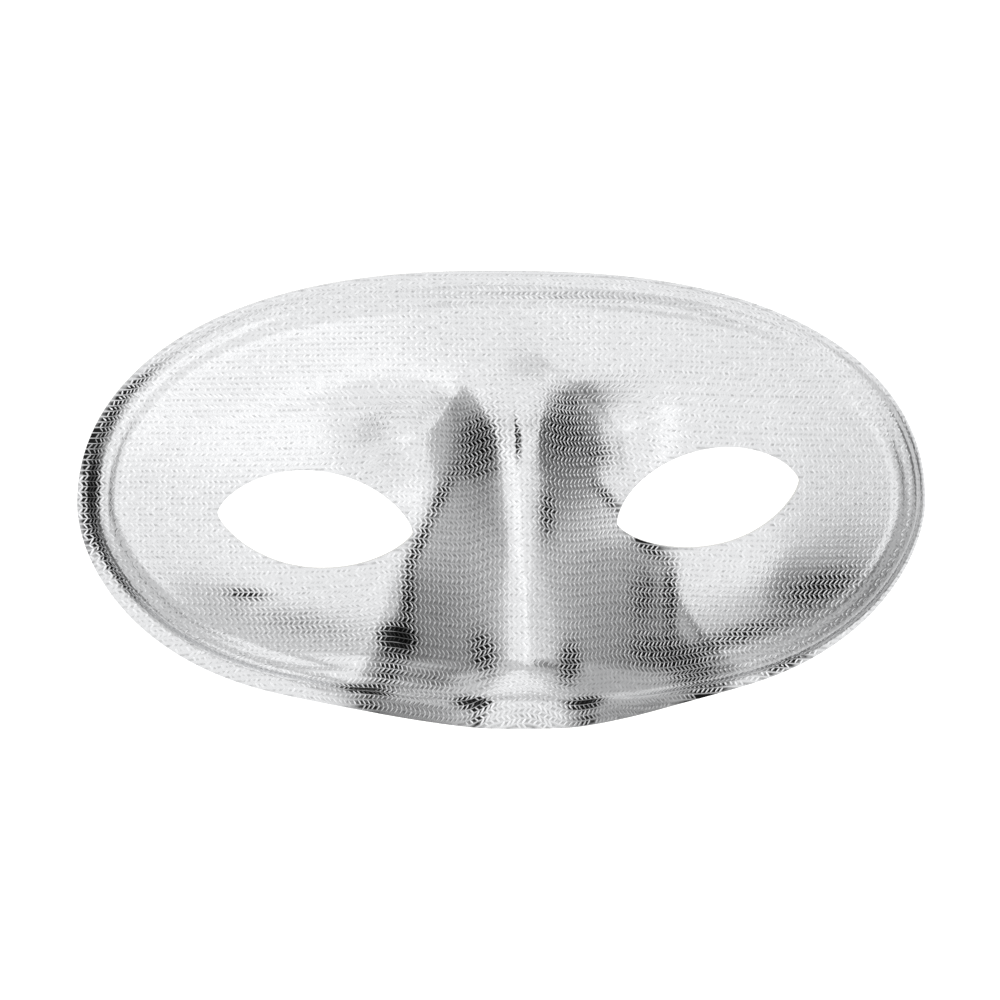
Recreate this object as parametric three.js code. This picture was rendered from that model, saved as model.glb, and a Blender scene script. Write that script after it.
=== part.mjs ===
// Silver half mask: one thin moulded shell with a bonded metallic knit face.
// Millimetres. The mask lies on its back: +Z is the way the face looks, +Y runs to the forehead,
// +X is the right side as seen from in front. The rim lies on z = 0.

import * as THREE from 'three';

// Overall outline, cut by a die: one half-width and a height above and below the middle
const HALF_WIDTH = 88;
const HEIGHT_ABOVE = 48.3;
const HEIGHT_BELOW = 42.6;
const UPPER_SQUARENESS = [2.45, 2.13];
const LOWER_SQUARENESS = [3.18, 1.75];

// Wall of the shell
const WALL = 1.2;

// Flat lip outside the bead: narrow above, wide to the lower left, widest under the nose
const LIP_LEAST = 0.3;
const LIP_EXTRA = 2.8;
const LIP_WIDE_ANGLE = THREE.MathUtils.degToRad(240);
const LIP_UNDER_NOSE = 2.4;
const NOSE_LIP_HALF_WIDTH = 24;

// Raised bead that runs round inside the lip, and the shallow groove behind it
const BEAD_HEIGHT = 1.9;
const BEAD_CREST = 2.3;
const GROOVE_HEIGHT = 1.0;
const GROOVE_AT = 4.9;
const BAND_WIDTH = 8;

// Under the nose the bead fades out and the band widens into the foot of the nose
const UNDER_NOSE = { halfWidth: 20, down: 30, widening: 0.375 };

// The moulded face is turned a little in its cut outline
const FACE_TURN = THREE.MathUtils.degToRad(3.2);

// Eye openings: two arcs that meet in pointed corners, the outer corner higher
const EYE_CENTRE = 40.3;
const EYE_LENGTH = 39.6;
const EYE_TILT = THREE.MathUtils.degToRad(8.6);
const EYE_UPPER = { rise: 10.6, inner: 0.7, outer: 0.66 };
const EYE_LOWER = { rise: -9.2, inner: 0.73, outer: 0.71 };

// Shallow dome of the face, the cheeks and the hollows beside the bridge
const DOME = {
  edge: 1.7, rise: 9.3, halfWidth: 89.5, halfHeight: 40.2, widePower: 2.4, highPower: 2.2, blend: 0.44,
};
const CHEEK = { rise: 1.8, across: 52.7, up: -14.9, width: 12.5, height: 11.8 };
const HOLLOW = { depth: 3.7, across: 22.3, up: 16.8, width: 8.2, height: 8.5 };

// Brow ridges sweep up and out from the bridge, steeper beside it, above and below their crest
const BROW = {
  level: 28.1, dip: 11.9, dipWidth: 9.9, droop: 0.0088, droopFrom: 27.4,
  crest: 8.6, bridgeRise: 5.5, bridgeWidth: 8.3, fade: 0.0012, radius: 2.9, blend: 3,
};
const BROW_ABOVE = { outer: 0.22, extra: 0.19, width: 11.8 };
const BROW_BELOW = { outer: 0.37, extra: 0.59, width: 13.8 };

// Nose from the tip up to the brow: height of its ridge, half width of the flat on top, radius of
// its shoulders, slope of its flanks and rounding of the valley where they meet the cheeks
const NOSE_SECTIONS = [
  { up: -36, height: 28.5, flat: 3.8, shoulder: 1.5, slope: 0.74, valley: 2.2 },
  { up: -20, height: 26.3, flat: 2.7, shoulder: 5.3, slope: 0.72, valley: 1.7 },
  { up: -6, height: 24.4, flat: 2.2, shoulder: 1.6, slope: 0.64, valley: 2.2 },
  { up: 8, height: 22, flat: 3.1, shoulder: 2.1, slope: 0.86, valley: 2.6 },
  { up: 20, height: 18, flat: 4.8, shoulder: 0.6, slope: 1.07, valley: 2.6 },
  { up: 27, height: 11.5, flat: 7.5, shoulder: 2.1, slope: 1.22, valley: 2.6 },
];
const NOSE_END_SLOPE = 1;

// The nose leans a little: its left flank is steeper than its right one by this share each way
const NOSE_LEAN = { share: 0.13, over: 4 };

// The rim arches forward over the wearer's nose, flat on top with rounded shoulders
const ARCH = {
  height: 21.1, flat: 9.6, shoulder: 4, slope: 0.72, blend: 7, from: -12, full: -30,
};

// Mesh density
const RIM_STEPS = 92;
const CENTRE_STEPS = 24;
const FACE_RINGS = 11;
const OUTLINE_SAMPLES = 1440;
const NORMAL_SPAN = 6;
const EYE_SAMPLES = 240;
const BEAD_MIDWAY = 0.45;
const LEAST_FACING = 0.5;

const clamp01 = (t) => Math.min(1, Math.max(0, t));
const smooth = (t) => clamp01(t) ** 2 * (3 - 2 * clamp01(t));
const bell = (t) => Math.exp(-t * t);
const mix = (a, b, t) => a + (b - a) * t;

// The larger of two heights, with a rounded meeting line
function blendMax(a, b, r) {
  const near = Math.max(0, r - Math.abs(a - b));
  return Math.max(a, b) + (near * near) / (4 * r);
}

// A ridge of rounded top: how far it has fallen at a distance from its crest
const fall = (distance, slope, radius) => slope * (Math.hypot(distance, radius) - radius);

function toFace(x, y) {
  const c = Math.cos(FACE_TURN);
  const s = Math.sin(FACE_TURN);
  return [x * c + y * s, y * c - x * s];
}

function fromFace(x, y) {
  const c = Math.cos(FACE_TURN);
  const s = Math.sin(FACE_TURN);
  return [x * c - y * s, y * c + x * s];
}

// A smooth curve through one value of the nose sections, which run from the tip up to the brow
function alongNose(value, up) {
  const last = NOSE_SECTIONS.length - 1;
  const at = THREE.MathUtils.clamp(up, NOSE_SECTIONS[0].up, NOSE_SECTIONS[last].up);
  const slope = (i) => (NOSE_SECTIONS[i + 1][value] - NOSE_SECTIONS[i][value])
    / (NOSE_SECTIONS[i + 1].up - NOSE_SECTIONS[i].up);
  const lean = (i) => {
    if (i === 0) return slope(0);
    if (i === last) return slope(last - 1);
    return 0.5 * (slope(i - 1) + slope(i));
  };
  let i = 0;
  while (i < last - 1 && NOSE_SECTIONS[i + 1].up <= at) i += 1;
  const a = NOSE_SECTIONS[i];
  const b = NOSE_SECTIONS[i + 1];
  const step = b.up - a.up;
  const t = (at - a.up) / step;
  return (1 + 2 * t) * (1 - t) ** 2 * a[value] + t * (1 - t) ** 2 * step * lean(i)
    + t * t * (3 - 2 * t) * b[value] + t * t * (t - 1) * step * lean(i + 1);
}

// A flat-topped ridge of rounded shoulders: how far out on its flank a place lies
function onFlank(across, flat, shoulder) {
  const beyond = (distance) => 0.5 * (distance - flat + Math.hypot(distance - flat, shoulder));
  return beyond(Math.abs(across)) - beyond(0);
}

function noseHeight(across, up) {
  const top = NOSE_SECTIONS[NOSE_SECTIONS.length - 1].up;
  const ridge = alongNose('height', up) - NOSE_END_SLOPE * Math.max(0, up - top);
  const slope = alongNose('slope', up) * (1 - NOSE_LEAN.share * Math.tanh(across / NOSE_LEAN.over));
  return ridge - slope * onFlank(across, alongNose('flat', up), alongNose('shoulder', up));
}

function browHeight(across, up) {
  const side = Math.abs(across);
  const droop = BROW.droop * Math.max(0, side - BROW.droopFrom) ** 2;
  const line = BROW.level - BROW.dip * bell(side / BROW.dipWidth) - droop;
  const crest = BROW.crest + BROW.bridgeRise * bell(side / BROW.bridgeWidth) - BROW.fade * side * side;
  const { outer, extra, width } = up > line ? BROW_ABOVE : BROW_BELOW;
  return crest - fall(up - line, outer + extra * bell(side / width), BROW.radius);
}

// Height of the moulded face, inside the rim band
function faceHeight(x, y) {
  const [across, up] = toFace(x, y);
  const side = Math.abs(across);
  const reach = (Math.abs(x) / DOME.halfWidth) ** DOME.widePower
    + (Math.abs(y) / DOME.halfHeight) ** DOME.highPower;
  const dome = DOME.edge + DOME.rise * blendMax(0, 1 - reach, DOME.blend);
  const cheek = CHEEK.rise * bell((side - CHEEK.across) / CHEEK.width)
    * bell((up - CHEEK.up) / CHEEK.height);
  const hollow = HOLLOW.depth * bell((side - HOLLOW.across) / HOLLOW.width)
    * bell((up - HOLLOW.up) / HOLLOW.height);
  const ground = blendMax(dome + cheek - hollow, browHeight(across, up), BROW.blend);
  return blendMax(ground, noseHeight(across, up), alongNose('valley', up));
}

// Height of the rim itself, flat but for the arch over the nose
function rimHeight(x, y) {
  const [across, up] = toFace(x, y);
  const arch = ARCH.height - ARCH.slope * onFlank(across, ARCH.flat, ARCH.shoulder);
  return blendMax(0, arch, ARCH.blend) * smooth((ARCH.from - up) / (ARCH.from - ARCH.full));
}

// The bead and groove, by distance inside the crease where the lip ends
function beadHeight(inside) {
  if (inside <= 0) return 0;
  if (inside < BEAD_CREST) return BEAD_HEIGHT * smooth(inside / BEAD_CREST);
  if (inside < GROOVE_AT) {
    return mix(BEAD_HEIGHT, GROOVE_HEIGHT, smooth((inside - BEAD_CREST) / (GROOVE_AT - BEAD_CREST)));
  }
  return mix(GROOVE_HEIGHT, 0, smooth((inside - GROOVE_AT) / (BAND_WIDTH - GROOVE_AT)));
}

// How far a place lies under the nose, from 0 to 1
function underNose(x, y) {
  const [across, up] = toFace(x, y);
  return bell(across / UNDER_NOSE.halfWidth) * smooth(-up / UNDER_NOSE.down);
}

function bandHeight(x, y, inside) {
  const toFaceForm = smooth(inside / BAND_WIDTH);
  const base = mix(rimHeight(x, y), faceHeight(x, y), toFaceForm);
  return base + beadHeight(inside) * (1 - underNose(x, y));
}

// Cut outline, as points with their inward normals, lip widths and the widening of the band
function outlineSamples() {
  const points = [];
  for (let i = 0; i < OUTLINE_SAMPLES; i += 1) {
    const angle = (2 * Math.PI * i) / OUTLINE_SAMPLES;
    const upper = Math.sin(angle) >= 0;
    const [px, py] = upper ? UPPER_SQUARENESS : LOWER_SQUARENESS;
    const height = upper ? HEIGHT_ABOVE : HEIGHT_BELOW;
    const c = Math.cos(angle);
    const s = Math.sin(angle);
    const x = HALF_WIDTH * Math.sign(c) * Math.abs(c) ** (2 / px);
    const y = height * Math.sign(s) * Math.abs(s) ** (2 / py);
    points.push({ x, y });
  }
  points.forEach((p, i) => {
    const before = points[(i + OUTLINE_SAMPLES - NORMAL_SPAN) % OUTLINE_SAMPLES];
    const after = points[(i + NORMAL_SPAN) % OUTLINE_SAMPLES];
    const length = Math.hypot(after.x - before.x, after.y - before.y);
    p.nx = -(after.y - before.y) / length;
    p.ny = (after.x - before.x) / length;
    const way = Math.atan2(p.y / HEIGHT_ABOVE, p.x / HALF_WIDTH) - LIP_WIDE_ANGLE;
    const [across, up] = toFace(p.x, p.y);
    p.lip = LIP_LEAST + LIP_EXTRA * (0.5 + 0.5 * Math.cos(way)) ** 2;
    if (up < 0) p.lip += LIP_UNDER_NOSE * bell(across / NOSE_LIP_HALF_WIDTH);
    p.widening = 1 + UNDER_NOSE.widening * underNose(p.x, p.y);
  });
  return points;
}

// Places along the outline, evenly spaced from the top of the face line to its foot on each side
function rimNodes() {
  const samples = outlineSamples();
  const faceAcross = (p) => {
    const inset = p.lip + BAND_WIDTH * p.widening;
    return toFace(p.x + p.nx * inset, p.y + p.ny * inset)[0];
  };
  const nearestToFaceLine = (wanted) => {
    let best = -1;
    samples.forEach((p, i) => {
      if (Math.sign(p.y) !== wanted) return;
      if (best < 0 || Math.abs(faceAcross(p)) < Math.abs(faceAcross(samples[best]))) best = i;
    });
    return best;
  };
  const top = nearestToFaceLine(1);
  const foot = nearestToFaceLine(-1);
  const walk = (from, to) => {
    const path = [];
    for (let i = from; i !== to; i = (i + 1) % OUTLINE_SAMPLES) path.push(samples[i]);
    path.push(samples[to]);
    const run = [0];
    for (let i = 1; i < path.length; i += 1) {
      run.push(run[i - 1] + Math.hypot(path[i].x - path[i - 1].x, path[i].y - path[i - 1].y));
    }
    const nodes = [];
    const steps = RIM_STEPS / 2;
    let k = 0;
    for (let i = 0; i < steps; i += 1) {
      const wanted = (run[run.length - 1] * i) / steps;
      while (run[k + 1] < wanted) k += 1;
      nodes.push(path[wanted - run[k] < run[k + 1] - wanted ? k : k + 1]);
    }
    return nodes;
  };
  return [...walk(top, foot), ...walk(foot, top)];
}

// Eye opening as a closed list of points in face directions, from the inner corner round
function eyeOutline(side) {
  const points = [];
  const arc = ({ rise, inner, outer }, t) => {
    const peak = inner / (inner + outer);
    return (rise * t ** inner * (1 - t) ** outer) / (peak ** inner * (1 - peak) ** outer);
  };
  for (let i = 0; i < 2 * EYE_SAMPLES; i += 1) {
    const t = i < EYE_SAMPLES ? i / EYE_SAMPLES : 2 - i / EYE_SAMPLES;
    const along = EYE_LENGTH * (t - 0.5);
    const over = arc(i < EYE_SAMPLES ? EYE_UPPER : EYE_LOWER, t);
    const across = EYE_CENTRE + along * Math.cos(EYE_TILT) - over * Math.sin(EYE_TILT);
    const up = along * Math.sin(EYE_TILT) + over * Math.cos(EYE_TILT);
    points.push(fromFace(side * across, up));
  }
  return points;
}

// Nodes round an eye opening, one on each ray from its middle to a node of the outer loop
function eyeNodes(side, loop) {
  const outline = eyeOutline(side);
  const [mx, my] = fromFace(side * EYE_CENTRE, 0);
  const angleOf = ([x, y]) => Math.atan2(y - my, x - mx);
  const apart = (a, b) => Math.abs(Math.atan2(Math.sin(a - b), Math.cos(a - b)));
  const nodes = loop.map((node) => {
    const angle = angleOf([node.x, node.y]);
    let best = outline[0];
    outline.forEach((p) => {
      if (apart(angleOf(p), angle) < apart(angleOf(best), angle)) best = p;
    });
    return best;
  });
  const corners = [outline[0], outline[outline.length / 2]];
  corners.forEach((corner) => {
    let nearest = 0;
    loop.forEach((node, i) => {
      const here = apart(angleOf([node.x, node.y]), angleOf(corner));
      const there = apart(angleOf([loop[nearest].x, loop[nearest].y]), angleOf(corner));
      if (here < there) nearest = i;
    });
    nodes[nearest] = corner;
  });
  return nodes.map(([x, y]) => ({ x, y }));
}

// Front surface: vertices with heights, triangles, and the open edges in order
function frontSurface() {
  const vertices = [];
  const triangles = [];
  const addVertex = (x, y, z) => vertices.push(new THREE.Vector3(x, y, z + WALL)) - 1;
  const addQuad = (a, b, c, d) => {
    const ac = vertices[a].distanceTo(vertices[c]);
    const bd = vertices[b].distanceTo(vertices[d]);
    if (ac <= bd) triangles.push([a, b, c], [a, c, d]);
    else triangles.push([a, b, d], [b, c, d]);
  };

  const nodes = rimNodes();
  const betweenBeadAndGroove = 0.5 * (BEAD_CREST + GROOVE_AT);
  const insets = [0, BEAD_MIDWAY * BEAD_CREST, BEAD_CREST, betweenBeadAndGroove, GROOVE_AT, BAND_WIDTH];
  const ringAt = (inwardOf, inset) => nodes.map((p) => {
    const x = p.x + p.nx * inwardOf(p);
    const y = p.y + p.ny * inwardOf(p);
    return addVertex(x, y, bandHeight(x, y, inset));
  });
  const bandRings = insets.map((inset) => ringAt((p) => p.lip + inset * p.widening, inset));
  const rings = [ringAt(() => 0, 0), ...bandRings];
  for (let k = 0; k + 1 < rings.length; k += 1) {
    for (let i = 0; i < RIM_STEPS; i += 1) {
      const j = (i + 1) % RIM_STEPS;
      addQuad(rings[k][i], rings[k][j], rings[k + 1][j], rings[k + 1][i]);
    }
  }

  const inner = rings[rings.length - 1];
  const half = RIM_STEPS / 2;
  const top = vertices[inner[0]];
  const foot = vertices[inner[half]];
  const centre = [];
  for (let i = 1; i < CENTRE_STEPS; i += 1) {
    const x = mix(top.x, foot.x, i / CENTRE_STEPS);
    const y = mix(top.y, foot.y, i / CENTRE_STEPS);
    centre.push(addVertex(x, y, faceHeight(x, y)));
  }

  // The rim nodes run anticlockwise, so the first half is the side of negative x
  const leftLoop = [...inner.slice(0, half + 1), ...[...centre].reverse()];
  const rightLoop = [...inner.slice(half), inner[0], ...centre];
  const holes = [[leftLoop, -1], [rightLoop, 1]].map(([loop, side]) => {
    const eye = eyeNodes(side, loop.map((v) => vertices[v]));
    let outer = loop;
    for (let ring = FACE_RINGS - 1; ring >= 0; ring -= 1) {
      const next = loop.map((v, i) => {
        const t = ring / FACE_RINGS;
        const x = mix(eye[i].x, vertices[v].x, t);
        const y = mix(eye[i].y, vertices[v].y, t);
        return addVertex(x, y, faceHeight(x, y));
      });
      for (let i = 0; i < loop.length; i += 1) {
        const j = (i + 1) % loop.length;
        addQuad(outer[i], outer[j], next[j], next[i]);
      }
      outer = next;
    }
    return outer;
  });
  return { vertices, triangles, rim: rings[0], holes };
}

// The shell: the front, a back that lies one wall behind it, and the cut edges between
function shellGeometry() {
  const { vertices, triangles, rim, holes } = frontSurface();
  const normals = vertices.map(() => new THREE.Vector3());
  const edge1 = new THREE.Vector3();
  const edge2 = new THREE.Vector3();
  triangles.forEach(([a, b, c]) => {
    edge1.subVectors(vertices[b], vertices[a]);
    edge2.subVectors(vertices[c], vertices[a]);
    edge1.cross(edge2);
    [a, b, c].forEach((v) => normals[v].add(edge1));
  });
  const positions = [];
  vertices.forEach((v) => positions.push(v.x, v.y, v.z));
  vertices.forEach((v, i) => {
    const facing = Math.max(LEAST_FACING, normals[i].normalize().z);
    positions.push(v.x, v.y, Math.max(0, v.z - WALL / facing));
  });
  const count = vertices.length;
  const index = [];
  triangles.forEach(([a, b, c]) => index.push(a, b, c, a + count, c + count, b + count));
  const wall = (loop) => loop.forEach((a, i) => {
    const b = loop[(i + 1) % loop.length];
    index.push(b, a, a + count, b, a + count, b + count);
  });
  wall(rim);
  holes.forEach((loop) => wall([...loop].reverse()));
  const geometry = new THREE.BufferGeometry();
  geometry.setAttribute('position', new THREE.Float32BufferAttribute(positions, 3));
  geometry.setIndex(index);
  geometry.computeVertexNormals();
  return geometry;
}

const silverKnit = new THREE.MeshStandardMaterial({ color: 0xc6c8cb, roughness: 0.32, metalness: 1 });

const maskShell = new THREE.Mesh(shellGeometry(), silverKnit);
maskShell.name = 'mask_shell';

// The face is drawn about the point midway between the eyes, and the part stands on its box's middle
maskShell.position.y = (HEIGHT_BELOW - HEIGHT_ABOVE) / 2;

const mask = new THREE.Group();
mask.add(maskShell);

export default mask;
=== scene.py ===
# %% [markdown]
# # A silver half mask, pressed from metallic knit
# The real mask is a laminate: a metallic silver knit bonded to a thin stiff shell, pressed warm over a
# mould and cut out by a die. Everything here follows that order: first the pressed form, then the wall
# and its cut edges, then the knit that covers the front, then the finishes, and at last the light it is
# seen in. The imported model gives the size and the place, so nothing is fitted afterwards.

# %% The frame
import math

import bpy
import numpy as np
from mathutils import Matrix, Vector
from mathutils.kdtree import KDTree


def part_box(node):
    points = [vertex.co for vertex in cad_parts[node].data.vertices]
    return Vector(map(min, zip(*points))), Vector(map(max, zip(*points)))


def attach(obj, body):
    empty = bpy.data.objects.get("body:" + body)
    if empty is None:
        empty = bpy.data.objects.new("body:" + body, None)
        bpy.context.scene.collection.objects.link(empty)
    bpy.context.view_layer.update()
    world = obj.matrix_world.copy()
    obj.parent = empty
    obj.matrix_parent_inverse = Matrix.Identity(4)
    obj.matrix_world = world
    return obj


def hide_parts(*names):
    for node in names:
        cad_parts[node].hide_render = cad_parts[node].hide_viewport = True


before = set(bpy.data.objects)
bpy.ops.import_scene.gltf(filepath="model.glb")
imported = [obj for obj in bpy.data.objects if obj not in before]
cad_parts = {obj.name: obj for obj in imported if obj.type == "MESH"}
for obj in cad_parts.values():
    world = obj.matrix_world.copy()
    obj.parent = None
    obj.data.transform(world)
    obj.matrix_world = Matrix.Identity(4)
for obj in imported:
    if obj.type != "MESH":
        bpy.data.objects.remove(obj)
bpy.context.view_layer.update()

MM = 0.001
low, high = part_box("mask_shell")
print("shell box in mm:", [round(v / MM, 2) for v in (*low, *high)])

# %% [markdown]
# ## The numbers of the form
# A mask is drawn on its front view, so a plain height over the plan describes it: how far each point of
# the face stands above the table. The outline's size comes from the frame's box. The rest are estimates
# in millimetres. The lip, the bead and the groove were set one by one. Nearly all the others, for the
# outline, the eye holes, the dome, the cheek, the brow, the nose and the arch, were found by search
# programs that compared the form and its light with the photograph, and then rounded.

# %% Outline, lip and bead
HALF_WIDTH = max(-low.x, high.x) / MM
SHARE_ABOVE = 0.53135
HEIGHT_ABOVE = SHARE_ABOVE * (high.y - low.y) / MM
HEIGHT_BELOW = (1 - SHARE_ABOVE) * (high.y - low.y) / MM
UPPER_SQUARENESS = (2.45, 2.13)
LOWER_SQUARENESS = (3.18, 1.75)
MIDDLE_TO_BOX = 0.5 * (HEIGHT_BELOW - HEIGHT_ABOVE)
WALL = 1.2

LIP_LEAST, LIP_EXTRA, LIP_UNDER_NOSE, NOSE_LIP_HALF_WIDTH = 0.3, 2.8, 2.4, 24
LIP_WIDE_ANGLE = math.radians(240)
BEAD_HEIGHT, BEAD_CREST = 1.9, 2.3
GROOVE_HEIGHT, GROOVE_AT = 1.0, 4.9
BAND_WIDTH = 8
UNDER_NOSE_HALF_WIDTH, UNDER_NOSE_DOWN, WIDENING = 20, 30, 0.375

FACE_TURN = math.radians(3.2)
EYE_CENTRE, EYE_LENGTH = 40.3, 39.6
EYE_TILT = math.radians(8.6)
EYE_UPPER = (10.6, 0.7, 0.66)
EYE_LOWER = (-9.2, 0.73, 0.71)
print("outline in mm:", round(2 * HALF_WIDTH, 1), "by", round(HEIGHT_ABOVE + HEIGHT_BELOW, 1))

# %% Dome, cheek, brow and nose
DOME = {"edge": 1.7, "rise": 9.3, "half_width": 89.5, "half_height": 40.2,
        "wide_power": 2.4, "high_power": 2.2, "blend": 0.44}
CHEEK = {"rise": 1.8, "across": 52.7, "up": -14.9, "width": 12.5, "height": 11.8}
HOLLOW = {"depth": 3.7, "across": 22.3, "up": 16.8, "width": 8.2, "height": 8.5}
BROW = {"level": 28.1, "dip": 11.9, "dip_width": 9.9, "droop": 0.0088, "droop_from": 27.4,
        "crest": 8.6, "bridge_rise": 5.5, "bridge_width": 8.3, "fade": 0.0012, "radius": 2.9, "blend": 3}
BROW_ABOVE = {"outer": 0.22, "extra": 0.19, "width": 11.8}
BROW_BELOW = {"outer": 0.37, "extra": 0.59, "width": 13.8}
NOSE = {
    "up": np.array([-36, -20, -6, 8, 20, 27.0]),
    "height": np.array([28.5, 26.3, 24.4, 22, 18, 11.5]),
    "flat": np.array([3.8, 2.7, 2.2, 3.1, 4.8, 7.5]),
    "shoulder": np.array([1.5, 5.3, 1.6, 2.1, 0.6, 2.1]),
    "slope": np.array([0.74, 0.72, 0.64, 0.86, 1.07, 1.22]),
    "valley": np.array([2.2, 1.7, 2.2, 2.6, 2.6, 2.6]),
}
NOSE_END_SLOPE = 1
NOSE_LEAN = {"share": 0.13, "over": 4}
ARCH = {"height": 21.1, "flat": 9.6, "shoulder": 4, "slope": 0.72, "blend": 7, "from": -12, "full": -30}
print("nose stands", NOSE["height"].max() + WALL, "mm over the table")

# %% [markdown]
# ## Height over the plan
# Each form is a small function: a bell for a cheek or a hollow, a rounded ridge for the brow, a flat-
# topped ridge for the nose. Two forms meet in a rounded line, which is what pressing does to cloth. A
# sculpted mesh would look alike, but functions keep every form's size in its own name and give any mesh
# density at once.

# %% Small helpers for blending forms
def smooth(t):
    t = np.clip(t, 0, 1)
    return t * t * (3 - 2 * t)


def bell(t):
    return np.exp(-t * t)


def blend_max(a, b, r):
    near = np.maximum(0, r - np.abs(a - b))
    return np.maximum(a, b) + near * near / (4 * r)


def fall(distance, slope, radius):
    return slope * (np.hypot(distance, radius) - radius)


def to_face(x, y):
    c, s = math.cos(FACE_TURN), math.sin(FACE_TURN)
    return x * c + y * s, y * c - x * s


def from_face(x, y):
    c, s = math.cos(FACE_TURN), math.sin(FACE_TURN)
    return x * c - y * s, y * c + x * s


print("rounded meeting of two equal heights:", blend_max(1.0, 1.0, 2.0))

# %% Brow and nose
def along_nose(name, up):
    ups, values = NOSE["up"], NOSE[name]
    slopes = np.diff(values) / np.diff(ups)
    leans = np.concatenate([slopes[:1], 0.5 * (slopes[1:] + slopes[:-1]), slopes[-1:]])
    at = np.clip(up, ups[0], ups[-1])
    i = np.clip(np.searchsorted(ups, at, side="right") - 1, 0, len(ups) - 2)
    step = ups[i + 1] - ups[i]
    t = (at - ups[i]) / step
    start = (1 + 2 * t) * (1 - t) ** 2 * values[i] + t * (1 - t) ** 2 * step * leans[i]
    return start + t * t * (3 - 2 * t) * values[i + 1] + t * t * (t - 1) * step * leans[i + 1]


def on_flank(across, flat, shoulder):
    """How far out on the flank of a flat-topped ridge a place lies."""
    def beyond(distance):
        return 0.5 * (distance - flat + np.hypot(distance - flat, shoulder))
    return beyond(np.abs(across)) - beyond(0)


def nose_height(across, up):
    ridge = along_nose("height", up) - NOSE_END_SLOPE * np.maximum(0, up - NOSE["up"][-1])
    slope = along_nose("slope", up) * (1 - NOSE_LEAN["share"] * np.tanh(across / NOSE_LEAN["over"]))
    return ridge - slope * on_flank(across, along_nose("flat", up), along_nose("shoulder", up))


def brow_height(across, up):
    side = np.abs(across)
    droop = BROW["droop"] * np.maximum(0, side - BROW["droop_from"]) ** 2
    line = BROW["level"] - BROW["dip"] * bell(side / BROW["dip_width"]) - droop
    crest = BROW["crest"] - BROW["fade"] * side ** 2
    crest += BROW["bridge_rise"] * bell(side / BROW["bridge_width"])
    above, below = (form["outer"] + form["extra"] * bell(side / form["width"])
                    for form in (BROW_ABOVE, BROW_BELOW))
    return crest - fall(up - line, np.where(up > line, above, below), BROW["radius"])


print("ridge of the nose at its tip and root:", along_nose("height", np.array([-36, 27])))

# %% The whole face, the rim and the band between them
def face_height(x, y):
    across, up = to_face(x, y)
    side = np.abs(across)
    reach = (np.abs(x) / DOME["half_width"]) ** DOME["wide_power"]
    reach = reach + (np.abs(y) / DOME["half_height"]) ** DOME["high_power"]
    dome = DOME["edge"] + DOME["rise"] * blend_max(0, 1 - reach, DOME["blend"])
    cheek, hollow = (bell((side - form["across"]) / form["width"])
                     * bell((up - form["up"]) / form["height"]) for form in (CHEEK, HOLLOW))
    ground = dome + CHEEK["rise"] * cheek - HOLLOW["depth"] * hollow
    ground = blend_max(ground, brow_height(across, up), BROW["blend"])
    return blend_max(ground, nose_height(across, up), along_nose("valley", up))


def rim_height(x, y):
    across, up = to_face(x, y)
    arch = ARCH["height"] - ARCH["slope"] * on_flank(across, ARCH["flat"], ARCH["shoulder"])
    return blend_max(0, arch, ARCH["blend"]) * smooth((ARCH["from"] - up) / (ARCH["from"] - ARCH["full"]))


def bead_height(inside):
    up_to_crest = BEAD_HEIGHT * smooth(inside / BEAD_CREST)
    to_groove = (GROOVE_HEIGHT - BEAD_HEIGHT) * smooth((inside - BEAD_CREST) / (GROOVE_AT - BEAD_CREST))
    to_face_form = -GROOVE_HEIGHT * smooth((inside - GROOVE_AT) / (BAND_WIDTH - GROOVE_AT))
    return up_to_crest + to_groove + to_face_form


def under_nose(x, y):
    """How far a place lies under the nose, from 0 to 1: there the bead fades and the band widens."""
    across, up = to_face(x, y)
    return bell(across / UNDER_NOSE_HALF_WIDTH) * smooth(-up / UNDER_NOSE_DOWN)


def band_height(x, y, inside):
    t = smooth(inside / BAND_WIDTH)
    base = rim_height(x, y) * (1 - t) + face_height(x, y) * t
    return base + bead_height(inside) * (1 - under_nose(x, y))


print("height midway between the eyes, in mm:", round(float(face_height(0.0, 0.0)), 2))

# %% [markdown]
# ## The net of the shell
# A grid over the plan would leave saw teeth at every cut. So the net follows the cuts: rings run inward
# from the die-cut outline over lip, bead and groove, and then close in on each eye hole. The cut edges
# are then clean curves, and the rings lie along the bead as its highlights do.

# %% Die-cut outline with its lip
OUTLINE_SAMPLES = 5760
NORMAL_SPAN = 24


def outline():
    """Rows of x, y, inward normal, lip width and widening of the band."""
    angle = np.arange(OUTLINE_SAMPLES) * 2 * np.pi / OUTLINE_SAMPLES
    c, s = np.cos(angle), np.sin(angle)
    upper = s >= 0
    across_power, up_power = (2 / np.where(upper, above, below)
                              for above, below in zip(UPPER_SQUARENESS, LOWER_SQUARENESS))
    x = HALF_WIDTH * np.sign(c) * np.abs(c) ** across_power
    y = np.sign(s) * np.abs(s) ** up_power
    y = y * np.where(upper, HEIGHT_ABOVE, HEIGHT_BELOW)
    dx = np.roll(x, -NORMAL_SPAN) - np.roll(x, NORMAL_SPAN)
    dy = np.roll(y, -NORMAL_SPAN) - np.roll(y, NORMAL_SPAN)
    length = np.hypot(dx, dy)
    way = np.arctan2(y / HEIGHT_ABOVE, x / HALF_WIDTH) - LIP_WIDE_ANGLE
    across, up = to_face(x, y)
    lip = LIP_LEAST + LIP_EXTRA * (0.5 + 0.5 * np.cos(way)) ** 2
    lip = lip + np.where(up < 0, LIP_UNDER_NOSE * bell(across / NOSE_LIP_HALF_WIDTH), 0)
    return np.stack([x, y, -dy / length, dx / length, lip, 1 + WIDENING * under_nose(x, y)], axis=1)


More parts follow.
